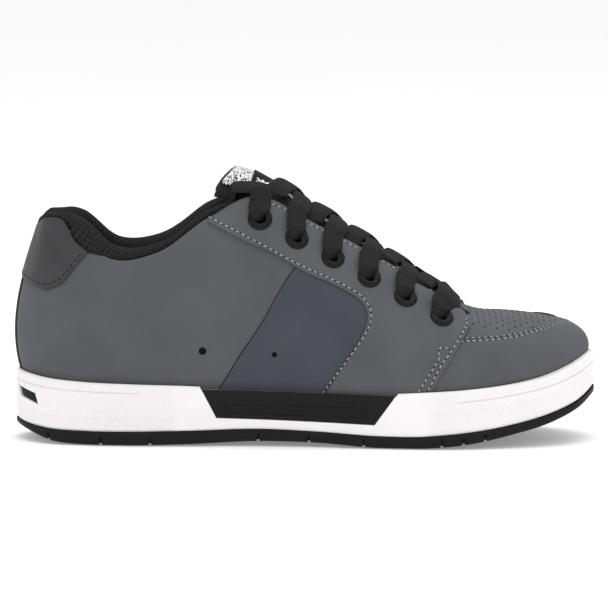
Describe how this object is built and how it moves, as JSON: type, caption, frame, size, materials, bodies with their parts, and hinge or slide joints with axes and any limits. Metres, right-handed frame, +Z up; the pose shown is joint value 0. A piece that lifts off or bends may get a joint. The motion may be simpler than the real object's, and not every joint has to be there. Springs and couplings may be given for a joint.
{
  "type": "skateboarding shoe",
  "caption": "Low-cut padded skateboarding shoe for the left foot, with a cupsole, overlaid upper, tongue, eyelets and flat crossed laces.",
  "frame": {"origin": "centre of the shoe's box, on the ground plane that heel and forefoot rest on", "axes": "+X towards the toe, +Y towards the outer side of the left foot, +Z up"},
  "size_m": [0.3016, 0.1054, 0.142],
  "materials": {
    "black_rubber": "matte moulded rubber",
    "white_rubber": "satin moulded rubber",
    "eyelet_rubber": "satin moulded rubber",
    "grey_nubuck": "matte nubuck",
    "blue_grey_nubuck": "matte nubuck",
    "black_leather": "smooth leather",
    "black_mesh": "padded spacer mesh",
    "tongue_fabric": "woven fabric",
    "black_lace": "flat woven lace",
    "insole_foam": "fabric over foam"
  },
  "bodies": {
    "root": {"outsole": "black_rubber", "midsole": "white_rubber", "arch_panel_inner": "black_rubber", "arch_panel_outer": "black_rubber", "heel_window_inner": "black_rubber", "heel_window_outer": "black_rubber", "upper": "grey_nubuck", "eyestay_inner": "grey_nubuck", "eyestay_outer": "grey_nubuck", "side_panel_inner": "blue_grey_nubuck", "side_panel_outer": "blue_grey_nubuck", "heel_patch": "black_leather", "back_strip": "black_leather", "ollie_patch": "black_leather", "collar_lining": "black_mesh", "insole": "insole_foam", "tongue": "tongue_fabric", "tongue_label": "tongue_fabric", "eyelet_inner_1": "eyelet_rubber", "eyelet_inner_2": "eyelet_rubber", "eyelet_inner_3": "eyelet_rubber", "eyelet_inner_4": "eyelet_rubber", "eyelet_inner_5": "eyelet_rubber", "eyelet_inner_6": "eyelet_rubber", "eyelet_outer_1": "eyelet_rubber", "eyelet_outer_2": "eyelet_rubber", "eyelet_outer_3": "eyelet_rubber", "eyelet_outer_4": "eyelet_rubber", "eyelet_outer_5": "eyelet_rubber", "eyelet_outer_6": "eyelet_rubber", "lace_crossing_1": "black_lace", "lace_crossing_2": "black_lace", "lace_crossing_3": "black_lace", "lace_crossing_4": "black_lace", "lace_crossing_5": "black_lace", "lace_bar": "black_lace", "lace_end_inner": "black_lace", "lace_end_outer": "black_lace"}
  },
  "joints": []
}
